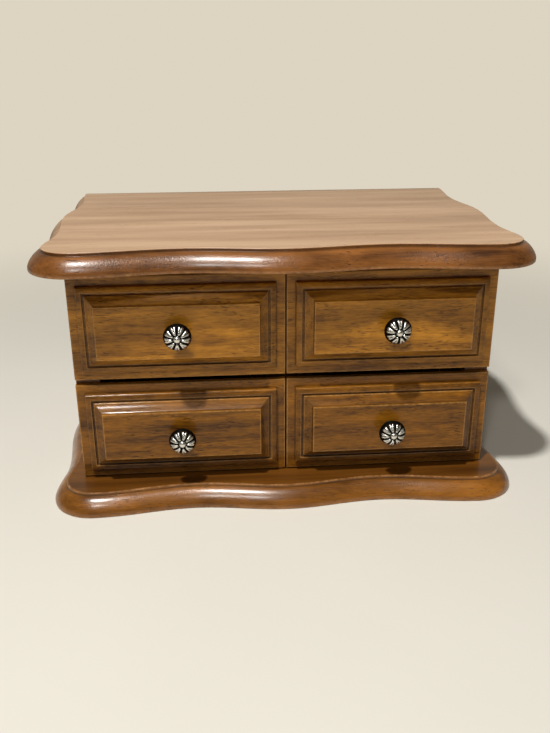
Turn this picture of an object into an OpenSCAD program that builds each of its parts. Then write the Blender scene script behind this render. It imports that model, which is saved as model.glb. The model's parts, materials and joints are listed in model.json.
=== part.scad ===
// Vanity and jewellery box: a hinged lid with a mirror under it closes a lined compartment,
// whose front is two fixed panels, and two drawers slide below.
// X runs across the front, Y from the front to the back and Z up, in millimetres.
// The origin is on the table, under the middle of the base board.

/* [Case] */
// Width of the case and of its two columns of fronts
case_w = 250; // [230:1:290]
// Depth of the case, from the front edges of its sides to its back
case_d = 167; // [145:1:200]
// Thickness of each side
side_t = 14; // [10:0.5:16]
// Thickness of the back
back_t = 10; // [9.5:0.5:14]
// Thickness of the divider between the drawers
divider_t = 22; // [12:1:30]
// Distance from the front of the case back to the divider
divider_back = 8; // [2:0.5:16]
// Thickness of the floor of the compartment
floor_t = 4; // [3:0.5:6]
// How deep the floor is let into the sides
floor_groove = 4; // [2:0.5:6]
// Thickness of the rail behind the upper fronts
rail_t = 8; // [6:0.5:12]
// How far the rail rises above the upper fronts
rail_rise = 5.5; // [3:0.5:12]

/* [Boards] */
// Thickness of the lid board and of the base board
board_t = 12.5; // [11:0.5:18]
// How far the corner ears stand out in front of the fronts
ear_out = 28; // [24:0.5:34]
// How far the bulge in the middle of the front edge stands out
bulge_out = 27.5; // [22:0.5:34]
// How far the dips between the bulge and the ears stand out
dip_out = 21.5; // [18:0.5:28]
// How far the ears stand out beside the case
ear_side_out = 18.4; // [15:0.2:26]
// How far the dips of the side edges stand out
side_dip_out = 15.4; // [12:0.2:24]
// How far the bump in the middle of a side edge stands out
side_bump_out = 20.2; // [14:0.2:28]
// How far the back corners stand out beside the case
corner_out = 19.2; // [14:0.2:26]
// How far both boards reach behind the case
back_out = 5; // [4.8:0.1:8]
// Length of the rounding of an ear along the front edge
ear_round_x = 26; // [20:1:32]
// Length of the rounding of an ear along the side edge
ear_round_y = 26.5; // [24:1:36]
// Width of the rounding on the edge of a board
ovolo_w = 7.7; // [5:0.1:10]
// Fullness of that rounding, from a slope at 1 to a quarter round at 2
ovolo_full = 1.45; // [1.2:0.05:2]
// Height of the square step above the rounding
step_h = 1.7; // [1:0.1:3]

/* [Fronts] */
// Height of a lower front
lower_front_h = 60.5; // [54:0.5:80]
// Height of an upper front
upper_front_h = 62.5; // [50:0.5:80]
// Gap between the two rows of fronts
row_gap = 3.4; // [2:0.1:6]
// Gap between the left and the right fronts
column_gap = 0.9; // [0.6:0.1:2]
// Gap between the base board and the lower fronts
front_lift = 1; // [0.6:0.1:2]
// Thickness of a front at its edge
front_edge_t = 3.5; // [2.5:0.1:6]
// Width of the flat border
border_w = 5.4; // [3:0.1:8]
// Width of the rounded bead inside the border
bead_w = 3.4; // [2:0.1:5]
// Height of the small step from the border to the bead
bead_step = 2.6; // [1:0.1:3.4]
// Rise of the bead above its step
bead_rise = 1.2; // [0.6:0.1:3]
// Width and depth of the groove inside the bead
bead_groove = 1.4; // [0.8:0.1:1.5]
// Width of the hollow slope from the groove to the field
slope_w = 5.1; // [3:0.1:8]
// Rise of that slope
slope_rise = 5.1; // [3:0.1:8]
// Hollowness of that slope, from a plain bevel at 0
slope_hollow = 0.3; // [0:0.05:0.8]
// Height of the last step up to the raised field
field_step = 2.2; // [0.6:0.1:3]

/* [Knobs] */
// Diameter of the head of a knob
knob_d = 16; // [12:0.5:20]
// Distance from the field to the rim of the head
knob_rim_out = 7.6; // [6.6:0.2:12]
// Height of the dome of the head above its rim
knob_dome_h = 5.6; // [3:0.1:7]
// Diameter of the foot of a knob
knob_foot_d = 9; // [7:0.5:11]
// Diameter of the neck of a knob
knob_neck_d = 6.4; // [6:0.1:6.8]
// Diameter of the button in the middle of the flower
knob_button_d = 3.8; // [3:0.1:5]
// Number of petals
petals = 9; // [6:1:12]
// Width of the groove between two petals
petal_groove = 1.1; // [0.6:0.1:1.6]
// Depth of that groove
petal_depth = 0.8; // [0.4:0.1:1.2]
// Diameter of the knob screws
knob_screw_d = 4; // [3:0.1:4.4]
// Depth of the threaded hole in a knob
knob_thread = 7; // [5:0.5:8]
// Diameter of the head of a knob screw
knob_screw_head_d = 8; // [6.4:0.2:9]
// Height of the head of a knob screw
knob_screw_head_h = 2.4; // [1.6:0.1:3]

/* [Drawers] */
// Height of the sides of a drawer
drawer_h = 52; // [36:1:54]
// Thickness of the sides and the back of a drawer
drawer_side_t = 8; // [6:0.5:10]
// Thickness of the board behind a drawer front
subfront_t = 8; // [6:0.5:10]
// Thickness of the bottom of a drawer
drawer_bottom_t = 3; // [2.5:0.5:4]
// Height of the lower edge of the bottom above the lower edge of the sides
drawer_bottom_up = 4; // [3:0.5:6]
// Depth of the groove that holds the bottom
drawer_groove = 3; // [2:0.5:4]
// Gap beside a drawer
drawer_gap = 0.6; // [0.4:0.1:1]
// Gap under a drawer
drawer_lift = 0.3; // [0.2:0.1:0.6]
// Gap behind a drawer
drawer_back_gap = 3; // [1:0.5:8]

/* [Lining] */
// Thickness of the velvet on its card at the floor
floor_lining_t = 1.5; // [1:0.1:3]
// Thickness of the velvet on its card at the walls
wall_lining_t = 1.2; // [0.8:0.1:2]
// Gap round the linings
lining_gap = 0.2; // [0.1:0.1:0.4]
// Height of the partitions
partition_h = 36; // [20:1:44]
// Thickness of the partitions
partition_t = 3; // [2:0.5:5]
// Place of the long partition, to the left of the middle
partition_x = 22; // [10:1:50]
// Place of the cross partition, behind the middle
partition_y = 14; // [0:1:40]
// Height of the ring cushion at the top of its rolls
cushion_h = 27; // [20:1:34]
// Height of the ring cushion in the slits between its rolls
slit_h = 11; // [6:1:16]
// Gap round the ring cushion
cushion_gap = 0.8; // [0.4:0.1:1.5]
// Number of rolls
rolls = 6; // [4:1:8]

/* [Mirror] */
// Gap between the mirror frame and the walls of the compartment
frame_gap = 3; // [2.5:0.1:5]
// Width of the mouldings of the mirror frame
frame_w = 15; // [10:0.5:20]
// Thickness of those mouldings
frame_t = 5; // [4.6:0.1:5.4]
// Width of the lip that holds the glass
frame_lip = 4; // [2:0.5:6]
// Thickness of the mirror
glass_t = 2.7; // [2:0.1:3]
// Thickness of the card behind the mirror
card_t = 0.7; // [0.5:0.1:1]
// Gap round the glass in its frame
glass_gap = 0.3; // [0.1:0.1:0.6]

/* [Hinges] */
// Distance of each hinge from the middle
hinge_x = 75; // [50:1:88]
// Length of a hinge
hinge_l = 30; // [24:1:40]
// Width of a leaf, measured on the wood
leaf_w = 8.5; // [7:0.5:9]
// Thickness of a leaf
leaf_t = 1.2; // [1:0.1:1.5]
// Diameter of the knuckles
knuckle_d = 4; // [3.6:0.1:4.4]
// Diameter of the pin
hinge_pin_d = 2; // [1.6:0.1:2.2]
// Gap between the lid and the case
lid_gap = 0.5; // [0.4:0.1:0.8]
// Diameter of the hinge screws
hinge_screw_d = 2.2; // [1.6:0.1:2.4]
// Length of the hinge screws
hinge_screw_l = 8; // [6:0.5:10]

/* [Fastening] */
// Diameter of the screws that hold the base board
base_screw_d = 4; // [3:0.1:4.5]
// Length of the screws that hold the base board
base_screw_l = 30; // [24:1:36]
// Diameter of the head of those screws
base_screw_head_d = 8; // [6.5:0.1:9]

/* [Hidden] */
fit = 0.03;            // radial clearance round a pin or a screw thread
gap = 0.3;             // clearance between a moving piece and what it passes
loose = 0.25;          // radial clearance of a screw in the piece that it only passes through
eps = 0.01;
$fn = 48;

board_d = ear_out + front_edge_t + case_d + back_out;
y_face = ear_out - board_d / 2;
y_case = y_face + front_edge_t;
y_back = y_case + case_d;
y_inner = y_back - back_t;
x_side = case_w / 2;
x_inner = x_side - side_t;

z_lower = board_t + front_lift;
z_lower_top = z_lower + lower_front_h;
z_upper = z_lower_top + row_gap;
z_upper_top = z_upper + upper_front_h;
z_wall = z_upper_top + rail_rise;
z_lid = z_wall + lid_gap;
z_floor = z_upper + 2;
z_floor_top = z_floor + floor_t;
total_h = z_lid + board_t;

front_w = (case_w - column_gap) / 2;
front_x = (front_w + column_gap) / 2;
field_out = bead_step + bead_rise + slope_rise + field_step - bead_groove;
front_t = front_edge_t + field_out;

y_rail = y_case + rail_t;
comp_w = 2 * x_inner;
comp_d = y_inner - y_rail;
comp_y = (y_inner + y_rail) / 2;
lining_z = z_floor_top + floor_lining_t;
frame_z = z_lid - frame_t;
lining_top = frame_z - 2 * gap;

bay_w = x_inner - divider_t / 2;
bay_x = (x_inner + divider_t / 2) / 2;
drawer_w = bay_w - 2 * drawer_gap;
drawer_z = board_t + drawer_lift;
drawer_y0 = y_case;
drawer_y1 = y_inner - drawer_back_gap;
drawer_floor = drawer_z + drawer_bottom_up;

hinge_axis_y = y_back + knuckle_d / 2 + gap;
hinge_axis_z = z_wall + lid_gap / 2;

wood = [0.52, 0.35, 0.19];
edge_wood = [0.47, 0.29, 0.16];
plain_wood = [0.72, 0.56, 0.38];
pewter = [0.42, 0.42, 0.40];
brass = [0.76, 0.62, 0.32];
steel = [0.66, 0.67, 0.68];
velvet = [0.36, 0.05, 0.09];
silver = [0.80, 0.84, 0.86];

// A box given by its lowest and its highest corner
module block(a, b) {
    translate(a)
        cube(b - a);
}

// A round bar along Y that starts at the point p
module bar_y(p, d, l) {
    translate(p)
        rotate([-90, 0, 0])
            cylinder(d = d, h = l);
}

// The wavy outline of both boards

wave_n = 7;
ear_n = 9;
ear_x = case_w / 2 + ear_side_out - ear_round_x;
dip_x = ear_x * 0.48;
ear_y = y_face - ear_out + ear_round_y;
board_back = board_d / 2;
side_run = board_back - ear_y;
// Where the side edge turns, as shares of its run from the ear to the back
side_turns = [0, 0.17, 0.49, 0.74, 1];
side_outs = [ear_side_out, side_dip_out, side_bump_out, side_dip_out, corner_out];

// Half a cosine wave from a to b
function swing(a, b, t) = a + (b - a) * (1 - cos(180 * t)) / 2;

function front_edge(x0, out0, x1, out1) =
    [for (i = [0 : wave_n - 1]) let (t = i / wave_n)
        [x0 + (x1 - x0) * t, y_face - swing(out0, out1, t)]];

function ear_edge() =
    [for (i = [0 : ear_n - 1]) let (a = 90 * i / ear_n)
        [ear_x + ear_round_x * sin(a), ear_y - ear_round_y * cos(a)]];

function side_edge(k) =
    [for (i = [0 : wave_n - 1]) let (t = i / wave_n)
        [x_side + swing(side_outs[k], side_outs[k + 1], t),
         ear_y + side_run * (side_turns[k] + (side_turns[k + 1] - side_turns[k]) * t)]];

right_edge = concat(
    front_edge(0, bulge_out, dip_x, dip_out),
    front_edge(dip_x, dip_out, ear_x, ear_out),
    ear_edge(),
    side_edge(0), side_edge(1), side_edge(2), side_edge(3),
    [[x_side + corner_out, board_back]]);
right_n = len(right_edge);

// The whole outline, from the left back corner round the front to the right back corner
outline = concat(
    [for (i = [right_n - 1 : -1 : 1]) [-right_edge[i][0], right_edge[i][1]]],
    right_edge);
outline_n = len(outline);

// Direction out of the board at a point of the outline
function outward(i) =
    i == 0 ? [-1, 0] :
    i == outline_n - 1 ? [1, 0] :
    let (d = outline[i + 1] - outline[i - 1]) [d[1], -d[0]] / norm(d);

// Section of the edge from the bottom up: how far it lies inside the outline, and its height
ovolo_n = 7;
under_round = 0.5;
ovolo_foot = 2;
edge_section = concat(
    [[under_round, 0], [0, under_round]],
    [for (i = [0 : ovolo_n]) let (a = 90 * i / ovolo_n)
        [ovolo_w * (1 - pow(cos(a), 2 / ovolo_full)),
         ovolo_foot + (board_t - step_h - ovolo_foot) * pow(sin(a), 2 / ovolo_full)]],
    [[ovolo_w + 0.3, board_t]]);
section_n = len(edge_section);

module board() {
    points = [for (s = edge_section) for (i = [0 : outline_n - 1])
        let (p = outline[i] - s[0] * outward(i)) [p[0], p[1], s[1]]];
    walls = [for (k = [0 : section_n - 2]) for (i = [0 : outline_n - 1])
        let (j = (i + 1) % outline_n, a = k * outline_n, b = a + outline_n)
        each [[a + i, b + i, b + j], [a + i, b + j, a + j]]];
    top = (section_n - 1) * outline_n;
    polyhedron(points, concat(walls,
        [[for (i = [0 : outline_n - 1]) i]],
        [[for (i = [outline_n - 1 : -1 : 0]) top + i]]), convexity = 6);
}

// The moulded fronts

slope_n = 5;
bead_n = 4;
groove_at = border_w + bead_w;
field_at = groove_at + bead_groove + slope_w;

// Section of a front from its edge inwards: distance from the edge, and height over the border
front_section = concat(
    [[0, 0], [border_w, 0]],
    [for (i = [0 : bead_n]) let (a = 90 * i / bead_n)
        [border_w + bead_w * (1 - cos(a)), bead_step + bead_rise * sin(a)]],
    [[groove_at + bead_groove, bead_step + bead_rise]],
    [for (i = [1 : slope_n]) let (t = i / slope_n)
        [groove_at + bead_groove + slope_w * t,
         bead_step + bead_rise
            + (slope_rise - bead_groove) * t * (1 - slope_hollow + slope_hollow * t)]],
    [[field_at, field_out]]);

// The section across a size s, with the back of the front closed
function across(s) = concat(
    [[-s / 2, -front_edge_t]],
    [for (p = front_section) [p[0] - s / 2, p[1]]],
    [for (i = [len(front_section) - 1 : -1 : 0])
        [s / 2 - front_section[i][0], front_section[i][1]]],
    [[s / 2, -front_edge_t]]);

// A front of height h; its border lies at y_face and its middle at x, z
module front(x, z, h) {
    translate([x, y_face, z])
        difference() {
            intersection() {
                translate([0, 0, -h / 2])
                    linear_extrude(h)
                        polygon([for (p = across(front_w)) [p[0], -p[1]]]);
                translate([-front_w / 2, 0, 0])
                    rotate([90, 0, 90])
                        linear_extrude(front_w)
                            polygon([for (p = across(h)) [-p[1], p[0]]]);
            }
            front_groove(h);
            bar_y([0, -front_t, 0], knob_screw_d + 2 * loose, 2 * front_t);
        }
}

// The sharp groove between the bead and the slope
module front_groove(h) {
    floor_out = bead_step + bead_rise - bead_groove;
    out = [front_w / 2 - groove_at, h / 2 - groove_at];
    in = out - [bead_groove, bead_groove];
    difference() {
        block([-out[0], -front_t, -out[1]], [out[0], -floor_out, out[1]]);
        block([-in[0], -front_t - 1, -in[1]], [in[0], 0, in[1]]);
    }
}

// The knobs

knob_y = y_face - field_out;
knob_section = [
    [0, 0], [knob_foot_d / 2, 0], [knob_foot_d / 2, 1], [knob_foot_d / 2 - 0.8, 1.7],
    [knob_neck_d / 2, 2.6], [knob_neck_d / 2, 4.2],
    [knob_neck_d / 2 + 1.6, knob_rim_out - 2.2], [knob_d / 2 - 1, knob_rim_out - 1],
    [knob_d / 2, knob_rim_out - 0.4], [knob_d / 2, knob_rim_out + 0.4]
];
dome_n = 6;

// Height of the dome at a share s of the radius
function dome(s) = knob_rim_out + 0.4 + (knob_dome_h - 0.4) * sqrt(1 - s * s);

module knob(x, z) {
    translate([x, knob_y, z])
        rotate([90, 0, 0])
            difference() {
                union() {
                    rotate_extrude()
                        polygon(concat(knob_section,
                            [for (i = [1 : dome_n]) let (s = cos(90 * i / dome_n))
                                [knob_d / 2 * s, dome(s)]]));
                    translate([0, 0, dome(0) - 0.4])
                        cylinder(d = knob_button_d, h = 1.1);
                }
                translate([0, 0, -eps])
                    cylinder(d = knob_screw_d + 2 * fit, h = knob_thread + eps);
                for (i = [0 : petals - 1])
                    rotate([90, 0, 360 / petals * i])
                        linear_extrude(petal_groove, center = true)
                            polygon(petal_cut);
            }
}
// The grooves between the petals follow the dome from the button nearly to the rim
petal_in = knob_button_d / 2 + 0.5;
petal_out = knob_d / 2 - 0.7;
petal_cut = concat(
    [for (i = [0 : dome_n]) let (r = petal_in + (petal_out - petal_in) * i / dome_n)
        [r, dome(2 * r / knob_d) - petal_depth]],
    [[petal_out, dome(0) + 2], [petal_in, dome(0) + 2]]);

// A knob screw: its head is let into the inner board, whose inner face is at y
module knob_screw(x, z, y) {
    color(steel)
        union() {
            bar_y([x, y - knob_screw_head_h, z], knob_screw_head_d, knob_screw_head_h);
            bar_y([x, knob_y - knob_thread + 0.5, z], knob_screw_d,
                  y - knob_y + knob_thread - 0.5 - knob_screw_head_h + eps);
        }
}

module knob_screw_hole(x, z, y, depth) {
    bar_y([x, y - depth - 1, z], knob_screw_d + 2 * loose, depth + 2);
    bar_y([x, y - knob_screw_head_h - 0.2, z], knob_screw_head_d + 2 * loose, knob_screw_head_h + 1);
}

// Base board and its screws

base_head_h = (base_screw_head_d - base_screw_d) / 2;
// How far the heads lie above the underside of the base
head_sink = 0.5;
base_screw_at = concat(
    [for (s = [-1, 1]) for (y = [y_case + 22, y_back - 30]) [s * (x_side - side_t / 2), y]],
    [for (y = [y_case + 34, y_inner - 34]) [0, y]],
    [for (s = [-1, 1]) [s * x_inner / 2, y_back - back_t / 2]]);

module base_board() {
    color(edge_wood)
        difference() {
            board();
            for (p = base_screw_at)
                translate([p[0], p[1], -eps]) {
                    cylinder(d = base_screw_d + 2 * loose, h = board_t + 1);
                    cylinder(d1 = base_screw_head_d + 2 * (head_sink + fit),
                             d2 = base_screw_d + 2 * fit, h = base_head_h + head_sink + eps);
                }
        }
}

module base_screws() {
    color(steel)
        for (p = base_screw_at)
            translate([p[0], p[1], head_sink])
                union() {
                    cylinder(d1 = base_screw_head_d, d2 = base_screw_d, h = base_head_h);
                    cylinder(d = base_screw_d, h = base_screw_l);
                }
}

module base_screw_bores() {
    for (p = base_screw_at)
        translate([p[0], p[1], board_t - 1])
            cylinder(d = base_screw_d + 2 * fit, h = base_screw_l + 2 - board_t);
}

// Walls of the case

module side(s) {
    color(wood)
        difference() {
            block([s > 0 ? x_inner : -x_side, y_case, board_t],
                  [s > 0 ? x_side : -x_inner, y_back, z_wall]);
            block([s > 0 ? x_inner - 1 : -x_inner - floor_groove, y_case - 1, z_floor],
                  [s > 0 ? x_inner + floor_groove : -x_inner + 1, y_back + 1, z_floor_top]);
            base_screw_bores();
        }
}
module side_left() { side(-1); }
module side_right() { side(1); }

module back_panel() {
    color(wood)
        difference() {
            block([-x_inner, y_inner, board_t], [x_inner, y_back, z_wall]);
            hinge_mortises(z_wall - leaf_t, z_wall + 1);
            hinge_screw_bores();
            base_screw_bores();
        }
}

module centre_divider() {
    color(wood)
        difference() {
            block([-divider_t / 2, y_case + divider_back, board_t],
                [divider_t / 2, y_inner, z_floor]);
            base_screw_bores();
        }
}

module compartment_floor() {
    tongue_x = x_inner + floor_groove - 0.2;
    color(plain_wood)
        difference() {
            block([-tongue_x, y_case, z_floor], [tongue_x, y_back, z_floor_top]);
            block([-x_inner, y_inner, z_floor - 1], [x_inner, y_back + 1, z_floor_top + 1]);
        }
}

module front_rail() {
    color(wood)
        difference() {
            block([-x_inner, y_case, z_floor_top], [x_inner, y_rail, z_wall]);
            for (s = [-1, 1])
                knob_screw_hole(s * front_x, z_upper_mid, y_rail, rail_t);
        }
}

z_upper_mid = z_upper + upper_front_h / 2;
z_lower_mid = z_lower + lower_front_h / 2;

module upper_front_left() { color(wood) front(-front_x, z_upper_mid, upper_front_h); }
module upper_front_right() { color(wood) front(front_x, z_upper_mid, upper_front_h); }
module knob_upper_left() { color(pewter) knob(-front_x, z_upper_mid); }
module knob_upper_right() { color(pewter) knob(front_x, z_upper_mid); }
module upper_knob_screws() {
    for (s = [-1, 1])
        knob_screw(s * front_x, z_upper_mid, y_rail);
}

// Lining of the compartment

module floor_lining() {
    color(velvet)
        block([-x_inner + lining_gap, y_rail + lining_gap, z_floor_top],
              [x_inner - lining_gap, y_inner - lining_gap, lining_z]);
}
module lining_front() {
    color(velvet)
        block([-x_inner + lining_gap, y_rail, lining_z],
              [x_inner - lining_gap, y_rail + wall_lining_t, lining_top]);
}
module lining_back() {
    color(velvet)
        block([-x_inner + lining_gap, y_inner - wall_lining_t, lining_z],
              [x_inner - lining_gap, y_inner, lining_top]);
}
module lining_side(s) {
    x0 = x_inner - wall_lining_t;
    color(velvet)
        block([s > 0 ? x0 : -x_inner, y_rail + wall_lining_t + lining_gap, lining_z],
              [s > 0 ? x_inner : -x0, y_inner - wall_lining_t - lining_gap, lining_top]);
}
module lining_left() { lining_side(-1); }
module lining_right() { lining_side(1); }

module partition_long() {
    color(velvet)
        block([-partition_x - partition_t, y_rail + wall_lining_t + lining_gap, lining_z],
              [-partition_x, y_inner - wall_lining_t - lining_gap, lining_z + partition_h]);
}
module partition_cross() {
    color(velvet)
        block([-partition_x, comp_y + partition_y, lining_z],
              [x_inner - wall_lining_t - lining_gap, comp_y + partition_y + partition_t,
               lining_z + partition_h]);
}

// Ring cushion: padded rolls side by side, pinched where they meet, lower towards their ends

cushion_x0 = -x_inner + wall_lining_t + cushion_gap;
cushion_x1 = -partition_x - partition_t - cushion_gap;
cushion_y0 = y_rail + wall_lining_t + cushion_gap;
cushion_y1 = y_inner - wall_lining_t - cushion_gap;
cushion_w = cushion_x1 - cushion_x0;
cushion_d = cushion_y1 - cushion_y0;
roll_pitch = cushion_d / rolls;
roll_n = 6;
crown_n = 10;
pull_n = 6;

// Across the rolls: a row of half ellipses on a common base
roll_section = concat(
    [[0, 0], [0, slit_h]],
    [for (j = [0 : rolls - 1]) for (i = [1 : roll_n]) let (a = 180 * i / roll_n)
        [roll_pitch * (j + (1 - cos(a)) / 2), slit_h + (cushion_h - slit_h) * sin(a)]],
    [[cushion_d, 0]]);

// Along the rolls: full in the middle, drawn down at both ends
crown_section = concat(
    [[0, 0]],
    [for (i = [0 : crown_n]) let (u = i / crown_n)
        [cushion_w * u, cushion_h * (1.01 - 0.34 * pow(abs(2 * u - 1), 4))]],
    [[cushion_w, 0]]);

// Seen from above: each side is drawn in between the corners by 1.2 mm
function pull(t) = 1.2 * sin(180 * t);
cushion_plan = concat(
    [for (i = [0 : pull_n - 1]) let (t = i / pull_n) [cushion_w * t, pull(t)]],
    [for (i = [0 : pull_n - 1]) let (t = i / pull_n) [cushion_w - pull(t), cushion_d * t]],
    [for (i = [0 : pull_n - 1]) let (t = i / pull_n) [cushion_w * (1 - t), cushion_d - pull(t)]],
    [for (i = [0 : pull_n - 1]) let (t = i / pull_n) [pull(t), cushion_d * (1 - t)]]);

module ring_cushion() {
    color(velvet)
        translate([cushion_x0, cushion_y0, lining_z])
            intersection() {
                rotate([90, 0, 90])
                    linear_extrude(cushion_w)
                        polygon(roll_section);
                translate([0, cushion_d, 0])
                    rotate([90, 0, 0])
                        linear_extrude(cushion_d)
                            polygon(crown_section);
                linear_extrude(cushion_h + 1)
                    polygon(cushion_plan);
            }
}

// Hinges: two leaves let into the wood, with their knuckles behind the case

knuckle_l = hinge_l / 3;
leaf_screw_dx = hinge_l / 3;
leaf_screw_y = y_back - leaf_w / 2;
hinge_head_d = 2 * hinge_screw_d;
hinge_head_h = hinge_screw_d / 2;

module hinge_mortises(z0, z1) {
    for (s = [-1, 1])
        block([s * hinge_x - hinge_l / 2 - 0.1, y_back - leaf_w - 0.1, z0],
              [s * hinge_x + hinge_l / 2 + 0.1, y_back + 1, z1]);
}

module hinge_screw_places() {
    for (s = [-1, 1])
        for (t = [-1, 1])
            translate([s * hinge_x + t * leaf_screw_dx, leaf_screw_y, 0])
                children();
}

// The bores for the screws of the case leaves
module hinge_screw_bores() {
    hinge_screw_places()
        translate([0, 0, z_wall - leaf_t - hinge_screw_l])
            cylinder(d = hinge_screw_d + 2 * fit, h = hinge_screw_l + 1);
}

// A knuckle ring that starts at x and is l long
module knuckle(x, l) {
    translate([x, hinge_axis_y, hinge_axis_z])
        rotate([0, 90, 0])
            cylinder(d = knuckle_d, h = l);
}

module pin_bores() {
    for (s = [-1, 1])
        translate([s * hinge_x - hinge_l, hinge_axis_y, hinge_axis_z])
            rotate([0, 90, 0])
                cylinder(d = hinge_pin_d + 2 * fit, h = 2 * hinge_l);
}

module hinge_case_leaves() {
    z0 = z_wall - leaf_t;
    color(brass)
        difference() {
            for (s = [-1, 1]) {
                x0 = s * hinge_x - hinge_l / 2;
                union() {
                    block([x0, y_back - leaf_w, z0], [x0 + hinge_l, y_back + eps, z_wall]);
                    for (x = [x0, x0 + 2 * knuckle_l + 0.1]) {
                        block([x, y_back, z0], [x + knuckle_l - 0.1, hinge_axis_y, z_wall]);
                        knuckle(x, knuckle_l - 0.1);
                    }
                }
            }
            pin_bores();
            hinge_screw_places()
                translate([0, 0, z0 - 1]) {
                    cylinder(d = hinge_screw_d + 2 * loose, h = leaf_t + 2);
                    translate([0, 0, 1 + leaf_t - hinge_head_h])
                        cylinder(d1 = hinge_screw_d + 2 * fit, d2 = hinge_head_d + 2 * fit + 0.1,
                                 h = hinge_head_h + eps);
                }
        }
}

module hinge_lid_leaves() {
    z1 = z_lid + leaf_t;
    color(brass)
        difference() {
            for (s = [-1, 1]) {
                x0 = s * hinge_x - hinge_l / 2;
                union() {
                    block([x0, y_back - leaf_w, z_lid], [x0 + hinge_l, y_back + eps, z1]);
                    block([x0 + knuckle_l + 0.1, y_back, z_lid],
                          [x0 + 2 * knuckle_l - 0.1, hinge_axis_y, z1]);
                    knuckle(x0 + knuckle_l + 0.1, knuckle_l - 0.2);
                }
            }
            pin_bores();
            hinge_screw_places()
                translate([0, 0, z_lid - 1]) {
                    cylinder(d = hinge_screw_d + 2 * loose, h = leaf_t + 2);
                    translate([0, 0, 1 - eps])
                        cylinder(d1 = hinge_head_d + 2 * fit + 0.1, d2 = hinge_screw_d + 2 * fit,
                                 h = hinge_head_h + eps);
                }
        }
}

module hinge_pins() {
    color(brass)
        for (s = [-1, 1])
            translate([s * hinge_x - hinge_l / 2 - 0.6, hinge_axis_y, hinge_axis_z])
                rotate([0, 90, 0])
                    cylinder(d = hinge_pin_d, h = hinge_l + 1.2);
}

module hinge_case_screws() {
    color(brass)
        hinge_screw_places()
            union() {
                translate([0, 0, z_wall - hinge_head_h])
                    cylinder(d1 = hinge_screw_d, d2 = hinge_head_d, h = hinge_head_h - 0.05);
                translate([0, 0, z_wall - leaf_t - hinge_screw_l + 0.5])
                    cylinder(d = hinge_screw_d, h = leaf_t + hinge_screw_l - 0.6);
            }
}

module hinge_lid_screws() {
    color(brass)
        hinge_screw_places()
            union() {
                translate([0, 0, z_lid + 0.05])
                    cylinder(d1 = hinge_head_d, d2 = hinge_screw_d, h = hinge_head_h - 0.05);
                translate([0, 0, z_lid + 0.1])
                    cylinder(d = hinge_screw_d, h = leaf_t + hinge_screw_l - 0.6);
            }
}

// Lid board: mortises for the leaves, and a gain that clears the knuckles

module lid_board() {
    color(edge_wood)
        difference() {
            translate([0, 0, z_lid])
                board();
            hinge_mortises(z_lid - 1, z_lid + leaf_t);
            for (s = [-1, 1])
                block([s * hinge_x - hinge_l / 2 - 1, hinge_axis_y - knuckle_d / 2 - gap, z_lid - 1],
                      [s * hinge_x + hinge_l / 2 + 1, board_back + 1,
                       hinge_axis_z + knuckle_d / 2 + gap]);
            hinge_screw_places()
                translate([0, 0, z_lid])
                    cylinder(d = hinge_screw_d + 2 * fit, h = leaf_t + hinge_screw_l);
        }
}

// Mirror and its frame, under the lid and inside the walls

frame_x = x_inner - frame_gap;
frame_y0 = y_rail + frame_gap;
frame_y1 = y_inner - frame_gap;
rebate_h = glass_t + card_t;
glass_x = frame_x - frame_w + frame_lip - glass_gap;
glass_y0 = frame_y0 + frame_w - frame_lip + glass_gap;
glass_y1 = frame_y1 - frame_w + frame_lip - glass_gap;

module mirror_card() {
    color(velvet)
        block([-glass_x, glass_y0, z_lid - card_t], [glass_x, glass_y1, z_lid]);
}
module mirror_glass() {
    color(silver)
        block([-glass_x, glass_y0, z_lid - rebate_h], [glass_x, glass_y1, z_lid - card_t]);
}

// Section of a moulding: distance from its outer edge, and depth below the lid
frame_section = [
    [0, 0], [frame_w - frame_lip, 0], [frame_w - frame_lip, -rebate_h],
    [frame_w, -rebate_h], [frame_w, -frame_t + 0.8], [frame_w - 0.8, -frame_t + 0.3],
    [frame_w - 2.4, -frame_t], [3, -frame_t], [1, -frame_t + 0.6], [0, -frame_t + 1.8]
];

// A moulding along X, from -l/2 to l/2, that is mitred at both ends
module moulding(l) {
    intersection() {
        translate([-l / 2, 0, 0])
            rotate([90, 0, 90])
                linear_extrude(l)
                    polygon(frame_section);
        translate([0, 0, -frame_t - 1])
            linear_extrude(frame_t + 2)
                polygon([[-l / 2, 0], [l / 2, 0], [l / 2 - frame_w, frame_w], [frame_w - l / 2, frame_w]]);
    }
}

module mirror_frame_front() {
    color(wood)
        translate([0, frame_y0, z_lid])
            moulding(2 * frame_x);
}
module mirror_frame_back() {
    color(wood)
        translate([0, frame_y1, z_lid])
            rotate([0, 0, 180])
                moulding(2 * frame_x);
}
module mirror_frame_left() {
    color(wood)
        translate([-frame_x, (frame_y0 + frame_y1) / 2, z_lid])
            rotate([0, 0, -90])
                moulding(frame_y1 - frame_y0);
}
module mirror_frame_right() {
    color(wood)
        translate([frame_x, (frame_y0 + frame_y1) / 2, z_lid])
            rotate([0, 0, 90])
                moulding(frame_y1 - frame_y0);
}

// Drawers: s is -1 for the left drawer and 1 for the right one, t points away from the divider

sub_y = drawer_y0 + subfront_t;
tail_y = drawer_y1 - drawer_side_t;
drawer_top = drawer_z + drawer_h;

module bottom_groove(x0, x1, y0, y1) {
    block([x0, y0, drawer_floor], [x1, y1, drawer_floor + drawer_bottom_t]);
}

module drawer_subfront(s) {
    x = s * bay_x;
    color(plain_wood)
        difference() {
            block([x - drawer_w / 2, drawer_y0, drawer_z], [x + drawer_w / 2, sub_y, drawer_top]);
            bottom_groove(x - drawer_w / 2 + drawer_side_t, x + drawer_w / 2 - drawer_side_t,
                          sub_y - drawer_groove, sub_y + 1);
            knob_screw_hole(s * front_x, z_lower_mid, sub_y, subfront_t);
        }
}

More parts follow.
